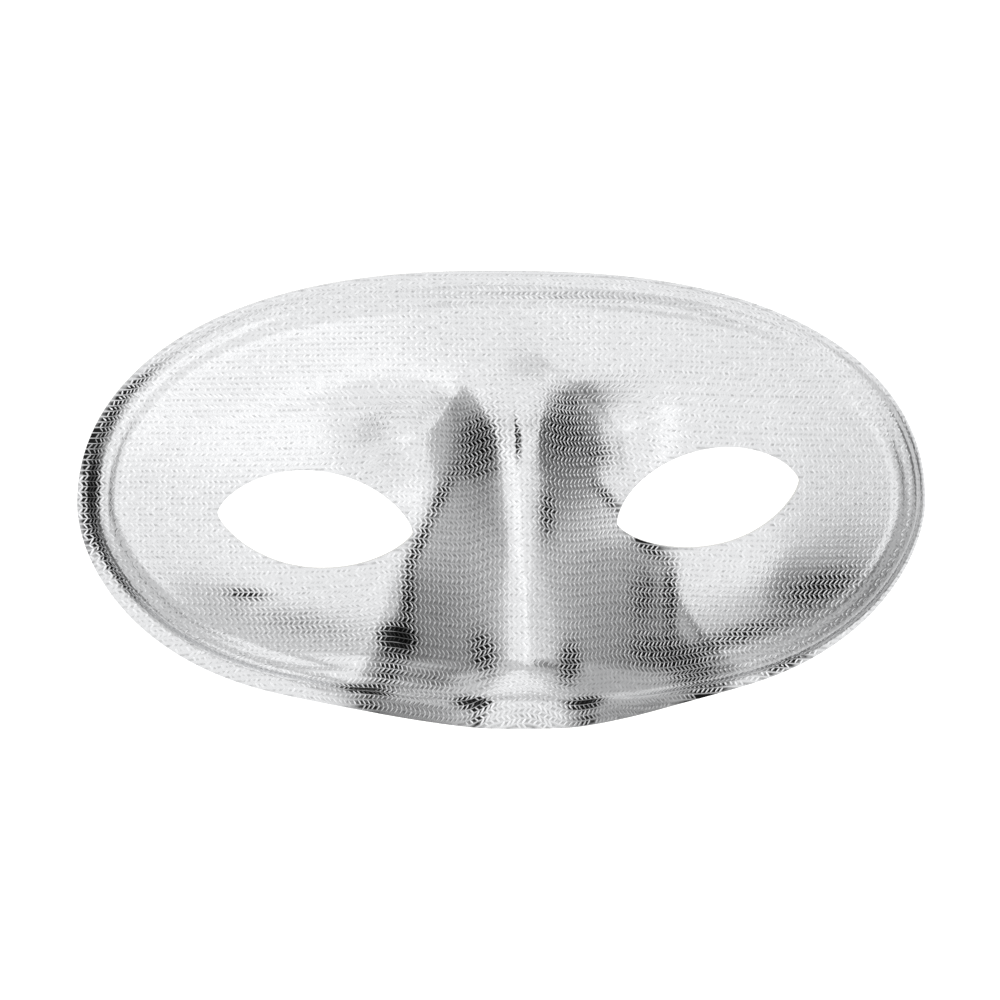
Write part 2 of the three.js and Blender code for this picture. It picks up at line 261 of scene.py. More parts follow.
def rim_nodes(steps):
    """Rows as outline() gives them, evenly spaced from the top of the face line and back."""
    rows = outline()
    inset = rows[:, 4] + BAND_WIDTH * rows[:, 5]
    off_line = np.abs(to_face(rows[:, 0] + rows[:, 2] * inset, rows[:, 1] + rows[:, 3] * inset)[0])
    top = int(np.argmin(np.where(rows[:, 1] > 0, off_line, np.inf)))
    foot = int(np.argmin(np.where(rows[:, 1] < 0, off_line, np.inf)))
    halves = []
    for start, end in ((top, foot), (foot, top)):
        path = rows[np.arange(start, start + (end - start) % OUTLINE_SAMPLES + 1) % OUTLINE_SAMPLES]
        run = np.concatenate([[0], np.cumsum(np.hypot(*np.diff(path[:, :2], axis=0).T))])
        at = np.linspace(0, run[-1], steps // 2 + 1)[:-1]
        halves.append(np.stack([np.interp(at, run, path[:, k]) for k in range(path.shape[1])], axis=1))
    return np.concatenate(halves)


RIM_STEPS = 640
nodes = rim_nodes(RIM_STEPS)
print("rim nodes:", len(nodes), "widest lip in mm:", round(nodes[:, 4].max(), 2))

# %% Eye holes as pairs of arcs
EYE_SAMPLES = 1200


def eye_outline(side):
    t = np.arange(EYE_SAMPLES) / EYE_SAMPLES

    def arc(rise, inner, outer, t):
        peak = inner / (inner + outer)
        return rise * t ** inner * (1 - t) ** outer / (peak ** inner * (1 - peak) ** outer)
    along = EYE_LENGTH * (np.concatenate([t, 1 - t]) - 0.5)
    over = np.concatenate([arc(*EYE_UPPER, t), arc(*EYE_LOWER, 1 - t)])
    across = EYE_CENTRE + along * math.cos(EYE_TILT) - over * math.sin(EYE_TILT)
    up = along * math.sin(EYE_TILT) + over * math.cos(EYE_TILT)
    return np.stack(from_face(side * across, up), axis=1)


def eye_nodes(side, loop):
    """One point of the hole for each point of the loop round it, on the ray from the hole's middle."""
    hole = eye_outline(side)
    middle = np.array(from_face(side * EYE_CENTRE, 0))

    def angle_of(points):
        return np.arctan2(points[:, 1] - middle[1], points[:, 0] - middle[0])
    at, wanted = angle_of(hole), angle_of(loop)
    order = np.argsort(at)
    points = np.stack([np.interp(wanted, at[order], hole[order, k], period=2 * np.pi)
                       for k in (0, 1)], axis=1)
    for corner in (hole[0], hole[EYE_SAMPLES]):
        gap = wanted - math.atan2(corner[1] - middle[1], corner[0] - middle[0])
        points[np.argmin(np.abs(np.arctan2(np.sin(gap), np.cos(gap))))] = corner
    return points


print("eye hole, inner and outer corner in mm:", eye_outline(1)[[0, EYE_SAMPLES]].round(1).tolist())

# %% Rings from the rim to the eye holes
class Net:
    """Points with heights, distances from the nearest cut, and quads."""

    def __init__(self):
        self.points, self.from_cut, self.quads, self.count = [], [], [], 0

    def add(self, x, y, z, from_cut):
        self.points.append(np.stack([x, y, z + np.zeros_like(x)], axis=1))
        self.from_cut.append(from_cut + np.zeros_like(x))
        self.count += len(x)
        return np.arange(self.count - len(x), self.count)

    def join(self, outer, inner):
        self.quads.append(np.stack([outer, np.roll(outer, -1), np.roll(inner, -1), inner], axis=1))

    def xy(self, which):
        return np.concatenate(self.points)[which, :2]


CLOSER_AT_START = 1.4
CENTRE_STEPS = 110


def build_net(lip_steps, insets, face_rings):
    net = Net()
    lip, widening = nodes[:, 4], nodes[:, 5]
    rings = []
    on_lip = [(lip * k / lip_steps, 0) for k in range(lip_steps)]
    for inward, inset in on_lip + [(lip + i * widening, i) for i in insets]:
        x, y = nodes[:, 0] + nodes[:, 2] * inward, nodes[:, 1] + nodes[:, 3] * inward
        rings.append(net.add(x, y, band_height(x, y, inset), inward))
    for outer, inner in zip(rings, rings[1:]):
        net.join(outer, inner)
    half = RIM_STEPS // 2
    top, foot = net.xy(rings[-1][[0, half]])
    t = np.arange(1, CENTRE_STEPS) / CENTRE_STEPS
    x, y = top[0] + (foot[0] - top[0]) * t, top[1] + (foot[1] - top[1]) * t
    centre = net.add(x, y, face_height(x, y), BAND_WIDTH)
    last = rings[-1]
    left = np.concatenate([last[:half + 1], centre[::-1]])
    right = np.concatenate([last[half:], last[:1], centre])
    holes = []
    for loop, side in ((left, -1), (right, 1)):
        start = net.xy(loop)
        end = eye_nodes(side, start)
        outer = loop
        for ring in range(1, face_rings + 1):
            x, y = (start + (end - start) * (ring / face_rings) ** CLOSER_AT_START).T
            inner = net.add(x, y, face_height(x, y), np.hypot(x - end[:, 0], y - end[:, 1]))
            net.join(outer, inner)
            outer = inner
        holes.append(outer)
    return net, rings[0], holes


FRONT_INSETS, FRONT_LIP_STEPS, FRONT_RINGS = np.linspace(0, BAND_WIDTH, 17), 3, 50
front_net, front_rim, front_holes = build_net(FRONT_LIP_STEPS, FRONT_INSETS, FRONT_RINGS)
print("front points:", front_net.count)

# %% [markdown]
# ## Creases of the knit
# Cloth has too much width for the narrow bridge, so a small upright crease stays there on the real
# mask, and a puckered pit stays low on the left, where nose, cheek and lip meet. Both are about as deep
# as the knit is thick and don't reach the back, so they are pressed into the front alone.

# %% Depth of the creases
CREASES = [
    # name, across, up, half-width, half-height, depth
    ("bridge_crease", 0.1, 17.0, 0.5, 3.6, 0.45),
    ("left_pucker", -24.8, -24.6, 2.3, 2.1, 0.6),
]


def creases(x, y):
    across, up = to_face(x, y)
    return sum(depth * bell((across - at) / half_width) * bell((up - height) / half_height)
               for _, at, height, half_width, half_height, depth in CREASES)


crease_depths = creases(*np.concatenate(front_net.points)[:, :2].T)
print("deepest crease in mm:", round(float(crease_depths.max()), 2))

# %% [markdown]
# ## Where reflection is painted on the knit
# The black strokes of the real mask are most likely broken reflections. Dark panels could be set up to
# mirror them, but soft ones give smears, not strokes. So they are painted where they show: the stitches
# stand up there, the gaps are painted dark, and the yarn is painted brighter, and darker where strongest.
# A list of soft ovals says where, in the mould's directions. Most places were read off the photograph,
# in pixels, and turned into millimetres by a program. The strengths were set by comparing renders with
# the photograph.

# %% Places of painted reflection
PAINTED_REFLECTION_PLACES = [
    # name, across, up, half-length, half-width, turn of the length in degrees, strength
    ("left_of_bridge", -7.2, 16.0, 5.2, 3.6, 80, 1.3),
    ("left_of_bridge_foot", -9.1, 10.0, 4.1, 2.3, 7, 0.6),
    ("right_of_bridge", 10.3, 17.1, 6.6, 4.7, 84, 1.15),
    ("right_of_bridge_outside", 17.8, 11.5, 4.1, 3.3, -43, 0.7),
    ("right_of_bridge_top", 16.6, 22.4, 4.9, 1.9, 0, 0.3),
    ("right_of_ridge", 5.5, 1.4, 4.9, 1.9, 87, 0.95),
    ("left_flank_top", -14.8, 4.6, 4.9, 1.2, 62, 0.95),
    ("left_flank_middle", -19.8, -5.3, 5.4, 1.2, 65, 0.95),
    ("left_flank_foot", -22.3, -16.6, 7.0, 1.4, 85, 1.1),
    ("left_pucker", -24.8, -24.6, 2.7, 2.5, -3, 3.4),
    ("left_corner", -27.0, -31.6, 5.8, 2.7, 57, 0.8),
    ("left_corner_line", -31.4, -35.6, 4.1, 0.8, -6, 2.7),
    ("left_foot", -19.9, -32.6, 6.6, 2.1, -11, 0.35),
    ("left_under_lip", -31.0, -38.9, 2.9, 0.9, -15, 1.0),
    ("right_flank_top", 18.8, 2.5, 4.5, 1.2, -51, 0.9),
    ("right_flank_middle", 27.2, -7.9, 4.5, 1.6, -43, 1.05),
    ("right_flank_wide", 26.0, -18.7, 7.4, 4.1, 87, 0.8),
    ("right_flank_edge", 31.9, -20.2, 7.4, 1.6, 89, 1.15),
    ("right_corner", 27.8, -30.2, 7.0, 3.3, -13, 1.0),
    ("right_corner_out", 36.7, -36.1, 6.2, 4.5, -33, 1.1),
    ("right_cheek", 63.8, -19.9, 8.7, 3.3, 12, 1.2),
    ("right_cheek_low", 47.4, -28.9, 12.0, 2.7, 14, 0.85),
    ("right_rim", 57.4, -37.0, 5.4, 1.0, 21, 1.0),
    ("left_cheek", -54.9, -13.9, 4.5, 1.4, -8, 0.9),
    ("left_cheek_low", -44.1, -20.8, 13.6, 3.1, -15, 0.35),
    ("left_wing", -8.7, -26.1, 4.5, 2.5, 97, 1.1),
    ("right_wing", 8.6, -29.1, 4.1, 2.3, 82, 1.4),
    ("left_fillet", -10.8, -36.8, 2.9, 1.0, -3, 2.8),
    ("right_fillet", 12.3, -38.3, 3.1, 1.0, -3, 2.8),
    ("left_lip", -10.1, -40.1, 2.1, 1.9, 87, 0.8),
    ("right_lip", 12.4, -42.0, 2.1, 2.5, 87, 0.9),
    ("bridge_line", 0.2, 16.4, 3.4, 0.5, 88, 1.8),
    ("under_nose", 1.0, -41.0, 8.0, 3.0, 0, 0.25),
    ("left_flank_all", -14.0, -12.0, 18.0, 8.0, 80, 0.14),
    ("right_flank_all", 15.0, -12.0, 18.0, 9.0, 100, 0.14),
    ("left_bead", -84.8, 8.8, 10.3, 1.6, 85, 2.0),
    ("left_bead_upper", -81.2, 21.0, 6.2, 1.2, 57, 1.4),
    ("left_bead_top", -75.0, 28.7, 6.2, 1.0, 39, 0.9),
    ("left_bead_lower", -83.7, -3.5, 4.5, 1.0, -68, 1.2),
    ("left_bead_foot", -79.6, -11.0, 4.9, 1.0, -53, 1.0),
    ("lower_right_rim", 39.7, -42.3, 6.2, 1.6, 15, 0.8),
    ("forehead_groove", 12.0, 43.1, 16.5, 1.0, -5, 0.3),
]


def painted_reflection_strength(x, y):
    """How strong the painted reflection is at a place: at 1 the gaps are painted fully dark, and up to 2
    the yarn is painted darker too.
    """
    across, up = to_face(x, y)
    total = np.zeros_like(across)
    for _, at, height, half_length, half_width, turn, strength in PAINTED_REFLECTION_PLACES:
        c, s = math.cos(math.radians(turn)), math.sin(math.radians(turn))
        along = (across - at) * c + (up - height) * s
        aside = (up - height) * c - (across - at) * s
        total += strength * bell(along / half_length) * bell(aside / half_width)
    return np.minimum(2, total)


print("places of deep knit:", len(PAINTED_REFLECTION_PLACES))

# %% [markdown]
# ## Wall, back and cut edges
# The back lies one wall behind the front, measured square to the surface, so the wall keeps its true
# thickness on the steep sides of the nose too. Solidify could do it, but this mask has to lie flat on
# its rim. So the back is made from the same net with fewer rings, and is kept from sinking under the
# table.

# %% Front, back and edges as one closed shell
LEAST_FACING = 0.5
BACK_INSETS = [0, 1, BEAD_CREST, 3.6, GROOVE_AT, 6.4, BAND_WIDTH]
BACK_LIP_STEPS, BACK_RINGS = 1, 14


def facing(points, quads):
    """How far each point's normal looks up, from 0 to 1."""
    a, b, c, d = (points[quads[:, k]] for k in range(4))
    normal = np.cross(c - a, d - b)
    total = np.zeros_like(points)
    for k in range(4):
        np.add.at(total, quads[:, k], normal)
    return total[:, 2] / np.linalg.norm(total, axis=1)


def net_arrays(net):
    return np.concatenate(net.points), np.concatenate(net.quads), np.concatenate(net.from_cut)


front_points, front_quads, front_from_cut = net_arrays(front_net)
front_points[:, 2] += WALL - crease_depths
back_net, back_rim, back_holes = build_net(BACK_LIP_STEPS, BACK_INSETS, BACK_RINGS)
back_points, back_quads, _ = net_arrays(back_net)
drop = WALL / np.maximum(LEAST_FACING, facing(back_points, back_quads))
back_points[:, 2] = np.maximum(0, back_points[:, 2] + WALL - drop)

offset = len(front_points)
# Strength of the painted reflection at each front point.
front_painted_reflection = painted_reflection_strength(front_points[:, 0], front_points[:, 1])
edges = []
for front_loop, back_loop in ((front_rim, back_rim), *zip(front_holes, back_holes)):
    a, b = front_loop, back_loop + offset
    edges.append(np.stack([np.roll(a, -1), a, b, np.roll(b, -1)], axis=1))
edges[1:] = [np.stack([e[:, 1], e[:, 0], e[:, 3], e[:, 2]], axis=1) for e in edges[1:]]
FRONT_FINISH, BACK_FINISH, EDGE_FINISH = 0, 1, 2
shell_points = np.concatenate([front_points, back_points])
shell_quads = np.concatenate([front_quads, back_quads[:, ::-1] + offset, *edges])
finishes = np.repeat([FRONT_FINISH, BACK_FINISH, EDGE_FINISH],
                     [len(front_quads), len(back_quads), sum(len(e) for e in edges)])
print("shell quads:", len(shell_quads))

# %% [markdown]
# ## The knit's own map
# Rows of knit keep their length when the cloth is pressed, so over the high nose they climb and arch,
# which is how the rows show the form. The map is made the same way: each place gets the length of cloth
# from the middle line and from the forehead, measured over the surface, and counted in stitches. The
# map is that count divided by a round number, because Blender looks places up quickly only where a map
# stays between 0 and 1.

# %% Length of cloth over the form
WALE, COURSE = 1.08, 1.1
STITCHES_IN_MAP = 200
CLOTH_STEP, CLOTH_HALF_WIDTH, CLOTH_HALF_HEIGHT = 0.5, 92, 50
OUTLINE_STRIDE = 12
cloth_x = np.arange(-CLOTH_HALF_WIDTH, CLOTH_HALF_WIDTH + CLOTH_STEP, CLOTH_STEP)
cloth_y = np.arange(-CLOTH_HALF_HEIGHT, CLOTH_HALF_HEIGHT + CLOTH_STEP, CLOTH_STEP)
grid_x, grid_y = np.meshgrid(cloth_x, cloth_y)


def whole_height(x, y):
    """Height of face and rim band together, by the distance from the nearest place of the outline."""
    rows = outline()[::OUTLINE_STRIDE]
    tree = KDTree(len(rows))
    for i, row in enumerate(rows):
        tree.insert((row[0], row[1], 0), i)
    tree.balance()
    found = [tree.find((a, b, 0)) for a, b in zip(x.ravel(), y.ravel())]
    nearest = rows[[i for _, i, _ in found]]
    away = np.array([distance for _, _, distance in found])
    inside = ((away - nearest[:, 4]) / nearest[:, 5]).reshape(x.shape)
    outward = np.stack([x.ravel(), y.ravel()], axis=1) - nearest[:, :2]
    beyond = (outward * nearest[:, 2:4]).sum(axis=1).reshape(x.shape) < 0
    inside = np.where(beyond, 0, np.clip(inside, 0, BAND_WIDTH))
    return band_height(x, y, inside)


slope_y, slope_x = np.gradient(whole_height(grid_x, grid_y), CLOTH_STEP)


def run_along(slope, axis, start):
    """Length over the surface along one axis, counted from the line numbered start."""
    step = CLOTH_STEP * np.sqrt(1 + slope ** 2)
    run = np.cumsum(step, axis=axis) - 0.5 * step
    return run - np.take(run, [start], axis=axis)


cloth_u = run_along(slope_x, 1, int(np.argmin(np.abs(cloth_x)))) / WALE
cloth_v = run_along(slope_y, 0, len(cloth_y) - 1) / COURSE


def cloth_map(points):
    """Stitch numbers, across and along, of points given in mm."""
    i = np.clip((points[:, 0] - cloth_x[0]) / CLOTH_STEP, 0, len(cloth_x) - 2)
    j = np.clip((points[:, 1] - cloth_y[0]) / CLOTH_STEP, 0, len(cloth_y) - 2)
    i0, j0 = i.astype(int), j.astype(int)
    s, t = i - i0, j - j0

    def look(field):
        below = field[j0, i0] * (1 - s) + field[j0, i0 + 1] * s
        above = field[j0 + 1, i0] * (1 - s) + field[j0 + 1, i0 + 1] * s
        return below * (1 - t) + above * t
    return np.stack([look(cloth_u), look(cloth_v)], axis=1)


front_map = cloth_map(front_points)
print("stitches across and along:", np.ptp(front_map, axis=0).round(0))

# %% A mesh from points in millimetres
def make_mesh(name, points, quads, stitch_map, fields):
    mesh = bpy.data.meshes.new(name)
    placed = (points + [0, MIDDLE_TO_BOX, 0]) * MM
    mesh.from_pydata(placed.tolist(), [], quads.tolist())
    uv = mesh.uv_layers.new(name="stitches")
    corner = np.zeros(len(mesh.loops), np.int32)
    mesh.loops.foreach_get("vertex_index", corner)
    uv.data.foreach_set("uv", (stitch_map[corner] / STITCHES_IN_MAP).astype(np.float32).ravel())
    for field_name, values in fields.items():
        field = mesh.attributes.new(field_name, "FLOAT", "POINT")
        field.data.foreach_set("value", values.astype(np.float32))
    mesh.shade_smooth()
    mesh.update()
    obj = bpy.data.objects.new(name, mesh)
    bpy.context.scene.collection.objects.link(obj)
    return obj


SHARP_FROM = math.radians(50)
# The front carries the painted reflection map for the painted dark strokes of the ground.
shell = make_mesh("pressed_shell", shell_points, shell_quads, cloth_map(shell_points),
                  {"deep": np.concatenate([front_painted_reflection, np.zeros(len(back_points))])})
shell.data.polygons.foreach_set("material_index", finishes.astype(np.int32))
shell.data.set_sharp_from_angle(angle=SHARP_FROM)
print("pressed shell:", len(shell.data.polygons), "faces")

# %% [markdown]
# ## One stitch
# Seen close, a stitch of this knit is a short slanting bar of metallic yarn, rounded on top and sunk
# into its neighbours. Eight flat faces with smooth normals are enough, because there are some eleven
# thousand bars. Bump in the material would shade alike, but real bars give the broken glints at the
# edge of each highlight.

# %% The bar of yarn
BAR_SIDES = 8
RIDGE_HALF_LENGTH, RIDGE_HEIGHT = 0.26, 0.85


def bar_mesh():
    """A unit bar along X: a rounded outline at the foot and a short ridge on top."""
    turn = np.arange(BAR_SIDES) * 2 * np.pi / BAR_SIDES + np.pi / BAR_SIDES
    foot = np.stack([0.5 * np.cos(turn), 0.5 * np.sin(turn), 0 * turn], axis=1)
    ridge = np.array([[-RIDGE_HALF_LENGTH, 0, RIDGE_HEIGHT], [RIDGE_HALF_LENGTH, 0, RIDGE_HEIGHT]])
    left, right = BAR_SIDES, BAR_SIDES + 1
    faces = []
    for i in range(BAR_SIDES):
        j = (i + 1) % BAR_SIDES
        near_i, near_j = (left if foot[k, 0] < 0 else right for k in (i, j))
        faces.append([i, j, near_j] if near_i == near_j else [i, j, near_j, near_i])
    mesh = bpy.data.meshes.new("bar_of_yarn")
    mesh.from_pydata(np.concatenate([foot, ridge]).tolist(), [], faces)
    mesh.shade_smooth()
    return mesh


bar = bpy.data.objects.new("bar_of_yarn", bar_mesh())
bpy.context.scene.collection.objects.link(bar)
print("faces in a bar:", len(bar.data.polygons))

# %% [markdown]
# ## Laying the stitches
# Geometry Nodes lay the bars, because the same stitch repeats over the whole front. A flat field of
# points stands for the cloth on the machine, one point a stitch. Each point looks up where its two ends
# come to lie on the pressed form, and a bar is stretched from one to the other. Rows lean by turns, as
# herringbone does.

# %% Helpers for node trees
def add_node(tree, kind, inputs=None, **settings):
    node = tree.nodes.new(kind)
    for name, value in settings.items():
        setattr(node, name, value)
    for name, value in (inputs or {}).items():
        if isinstance(value, bpy.types.NodeSocket):
            tree.links.new(value, node.inputs[name])
        else:
            node.inputs[name].default_value = value
    return node


def maths(tree, operation, a, b=0.0):
    node = add_node(tree, "ShaderNodeMath", {0: a, 1: b}, operation=operation)
    return node.outputs[0]


def vector_maths(tree, operation, a, b=(0, 0, 0)):
    node = add_node(tree, "ShaderNodeVectorMath", {0: a}, operation=operation)
    key = "Scale" if operation == "SCALE" else 1
    if operation != "LENGTH":
        if isinstance(b, bpy.types.NodeSocket):
            tree.links.new(b, node.inputs[key])
        else:
            node.inputs[key].default_value = b
    return node.outputs["Value" if operation == "LENGTH" else 0]


def add_input(tree, name, kind, value=None):
    socket = tree.interface.new_socket(name=name, in_out="INPUT", socket_type=kind)
    if value is not None:
        socket.default_value = value
    return socket


print("node helpers ready")

# %% The tree that lays the stitches
STITCH_INPUTS = [
    ("Columns", "NodeSocketInt", 10),
    ("Rows", "NodeSocketInt", 10),
    ("Stitches in map", "NodeSocketFloat", 200.0),
    ("Reach across", "NodeSocketFloat", 0.4),
    ("Reach along", "NodeSocketFloat", 0.5),
    ("Bar width", "NodeSocketFloat", 0.0006),
    ("Bar height", "NodeSocketFloat", 0.0001),
    ("Rise where deep", "NodeSocketFloat", 1.0),
    ("Narrower where deep", "NodeSocketFloat", 0.1),
    ("Sink", "NodeSocketFloat", 0.0),
    ("Unevenness", "NodeSocketFloat", 0.1),
    ("Bare edge", "NodeSocketFloat", 0.3),
    ("Seed", "NodeSocketInt", 1),
    ("Bar", "NodeSocketObject", None),
    ("Finish", "NodeSocketMaterial", None),
]


def stitch_tree():
    tree = bpy.data.node_groups.new("lay_stitches", "GeometryNodeTree")
    tree.interface.new_socket(name="Geometry", in_out="INPUT", socket_type="NodeSocketGeometry")
    for name, kind, start in STITCH_INPUTS:
        add_input(tree, name, kind, start)
    tree.interface.new_socket(name="Geometry", in_out="OUTPUT", socket_type="NodeSocketGeometry")
    given = add_node(tree, "NodeGroupInput").outputs
    columns, rows = given["Columns"], given["Rows"]

    grid = add_node(tree, "GeometryNodeMeshGrid", {
        "Vertices X": columns, "Vertices Y": rows,
        "Size X": maths(tree, "SUBTRACT", columns, 1.0), "Size Y": maths(tree, "SUBTRACT", rows, 1.0)})
    place = add_node(tree, "GeometryNodeInputPosition").outputs[0]
    apart = add_node(tree, "ShaderNodeSeparateXYZ", {0: place}).outputs
    down = maths(tree, "MULTIPLY", rows, -0.5)
    row = maths(tree, "ADD", apart["Y"], down)
    odd = maths(tree, "FLOORED_MODULO", maths(tree, "FLOOR", row), 2.0)
    lean = maths(tree, "MULTIPLY_ADD", odd, 2.0)
    lean.node.inputs[2].default_value = -1.0

    def read(name, kind):
        return add_node(tree, "GeometryNodeInputNamedAttribute", {"Name": name},
                        data_type=kind).outputs[0]

    def both(a, b):
        return add_node(tree, "FunctionNodeBooleanMath", {0: a, 1: b}, operation="AND").outputs[0]

    def store(points, name, value, kind, domain="POINT"):
        return add_node(tree, "GeometryNodeStoreNamedAttribute",
                        {"Geometry": points, "Name": name, "Value": value},
                        data_type=kind, domain=domain).outputs[0]

    def uneven(number):
        node = add_node(tree, "FunctionNodeRandomValue",
                        {"Seed": maths(tree, "ADD", given["Seed"], float(number))}, data_type="FLOAT")
        centred = maths(tree, "SUBTRACT", node.outputs[1], 0.5)
        return maths(tree, "MULTIPLY", centred, given["Unevenness"])

    reach_x = maths(tree, "MULTIPLY", given["Reach across"], lean)
    reach = add_node(tree, "ShaderNodeCombineXYZ", {"X": reach_x, "Y": given["Reach along"]}).outputs[0]
    middle = add_node(tree, "ShaderNodeCombineXYZ", {
        "X": maths(tree, "ADD", apart["X"], uneven(1)),
        "Y": maths(tree, "ADD", row, uneven(2))}).outputs[0]
    uv = read("stitches", "FLOAT_VECTOR")
    normal = add_node(tree, "GeometryNodeInputNormal").outputs[0]

    def look_up(value, at, kind):
        node = add_node(tree, "GeometryNodeSampleUVSurface", data_type=kind)
        tree.links.new(given["Geometry"], node.inputs["Mesh"])
        tree.links.new(value, node.inputs["Value"])
        tree.links.new(uv, node.inputs["UV Map"])
        in_map = vector_maths(tree, "SCALE", at, maths(tree, "DIVIDE", 1.0, given["Stitches in map"]))
        tree.links.new(in_map, node.inputs["Sample UV"])
        return node.outputs["Value"], node.outputs["Is Valid"]

    foot, foot_found = look_up(place, vector_maths(tree, "SUBTRACT", middle, reach), "FLOAT_VECTOR")
    head, head_found = look_up(place, vector_maths(tree, "ADD", middle, reach), "FLOAT_VECTOR")
    facing_up, found = look_up(normal, middle, "FLOAT_VECTOR")
    ground, _ = look_up(place, middle, "FLOAT_VECTOR")
    distance, _ = look_up(read("from_cut", "FLOAT"), middle, "FLOAT")
    # The painted reflection map rides to each bar for its painted colour, and also makes the bar stand
    # higher and narrower.
    sampled_painted_reflection, _ = look_up(read("deep", "FLOAT"), middle, "FLOAT")
    capped_painted_reflection = maths(tree, "MINIMUM", sampled_painted_reflection, 1.0)

    on_form = both(both(foot_found, head_found), found)
    keep = both(on_form, maths(tree, "GREATER_THAN", distance, given["Bare edge"]))

    along = vector_maths(tree, "SUBTRACT", head, foot)
    length = vector_maths(tree, "LENGTH", along)
    sunk = vector_maths(tree, "SCALE", facing_up, maths(tree, "MULTIPLY", given["Sink"], -1.0))
    seat = vector_maths(tree, "ADD", ground, sunk)
    turn = add_node(tree, "FunctionNodeAxesToRotation",
                    {"Primary Axis": facing_up, "Secondary Axis": along},
                    primary_axis="Z", secondary_axis="X").outputs[0]
    rise = maths(tree, "ADD", 1.0, maths(tree, "MULTIPLY", capped_painted_reflection, given["Rise where deep"]))
    height = maths(tree, "MULTIPLY", given["Bar height"], maths(tree, "ADD", rise, uneven(3)))
    narrower = maths(tree, "MULTIPLY", capped_painted_reflection, given["Narrower where deep"])
    width = maths(tree, "MULTIPLY", given["Bar width"], maths(tree, "SUBTRACT", 1.0, narrower))
    size = add_node(tree, "ShaderNodeCombineXYZ", {"X": length, "Y": width, "Z": height}).outputs[0]

    points = grid.outputs["Mesh"]
    for name, value, kind in (("kept", keep, "BOOLEAN"), ("seat", seat, "FLOAT_VECTOR"),
                              ("size", size, "FLOAT_VECTOR"), ("turn", turn, "QUATERNION"),
                              ("deep", sampled_painted_reflection, "FLOAT")):
        points = store(points, name, value, kind)
    placed = add_node(tree, "GeometryNodeSetPosition",
                      {"Geometry": points, "Position": read("seat", "FLOAT_VECTOR")})
    bar_seen = add_node(tree, "GeometryNodeObjectInfo", {"Object": given["Bar"]})
    laid = add_node(tree, "GeometryNodeInstanceOnPoints", {
        "Points": placed.outputs[0], "Selection": read("kept", "BOOLEAN"),
        "Instance": bar_seen.outputs["Geometry"],
        "Rotation": read("turn", "QUATERNION"), "Scale": read("size", "FLOAT_VECTOR")})
    shade = add_node(tree, "FunctionNodeRandomValue", {"Seed": given["Seed"]}, data_type="FLOAT")
    shaded = store(laid.outputs[0], "shade", shade.outputs[1], "FLOAT", "INSTANCE")
    real = add_node(tree, "GeometryNodeRealizeInstances", {"Geometry": shaded})
    finished = add_node(tree, "GeometryNodeSetMaterial",
                        {"Geometry": real.outputs[0], "Material": given["Finish"]})
    result = add_node(tree, "NodeGroupOutput")
    tree.links.new(finished.outputs[0], result.inputs[0])
    return tree


lay_stitches = stitch_tree()
print("tree nodes:", len(lay_stitches.nodes))

# %% [markdown]
# ## The finishes
# The yarn is wrapped in bright foil, so it is a metal: it shows its surroundings, a little blurred by
# the fine twist of the yarn. Where the reflection is painted, the yarn is painted brighter, and darker
# where strongest. The ground between the stitches is the same yarn seen deeper and rougher, with painted
# shade: dark specks in the gaps between rows, and dark strokes where the reflection is painted. The back
# is a plain off-white backing sheet with the soft grain of pressed fibre, and the die leaves its cut edge
# bare.

# %% Material helpers
def new_material(name):
    material = bpy.data.materials.new(name)
    material.use_nodes = True
    tree = material.node_tree
    tree.nodes.clear()
    surface = add_node(tree, "ShaderNodeBsdfPrincipled")
    out = add_node(tree, "ShaderNodeOutputMaterial")
    tree.links.new(surface.outputs[0], out.inputs[0])
    return material, tree, surface


def noise(tree, scale, detail=2.0):
    node = add_node(tree, "ShaderNodeTexNoise", {"Scale": scale, "Detail": detail})
    tree.links.new(add_node(tree, "ShaderNodeTexCoord").outputs["Object"], node.inputs["Vector"])
    return node.outputs[0]


def spread(tree, value, low_end, high_end):
    node = add_node(tree, "ShaderNodeMapRange", {0: value, 3: low_end, 4: high_end})
    return node.outputs[0]


print("material helpers ready")

# %% Bright metallic yarn
SILVER = (0.80, 0.805, 0.815)
BACKING_WHITE, EDGE_GREY = (0.78, 0.77, 0.74), (0.70, 0.70, 0.69)
YARN_TWIST, YARN_BLUR = 9000.0, 2500.0
# Painted reflection: the darkest tone the yarn is painted, where the painted reflection map reaches 2.
DARKEST_PAINTED_YARN = 0.04


def tinted(tree, colour, value):
    """A colour, made lighter or darker by a value near 1."""
    whole = add_node(tree, "ShaderNodeCombineXYZ", dict(zip("XYZ", colour))).outputs[0]
    return vector_maths(tree, "SCALE", whole, value)


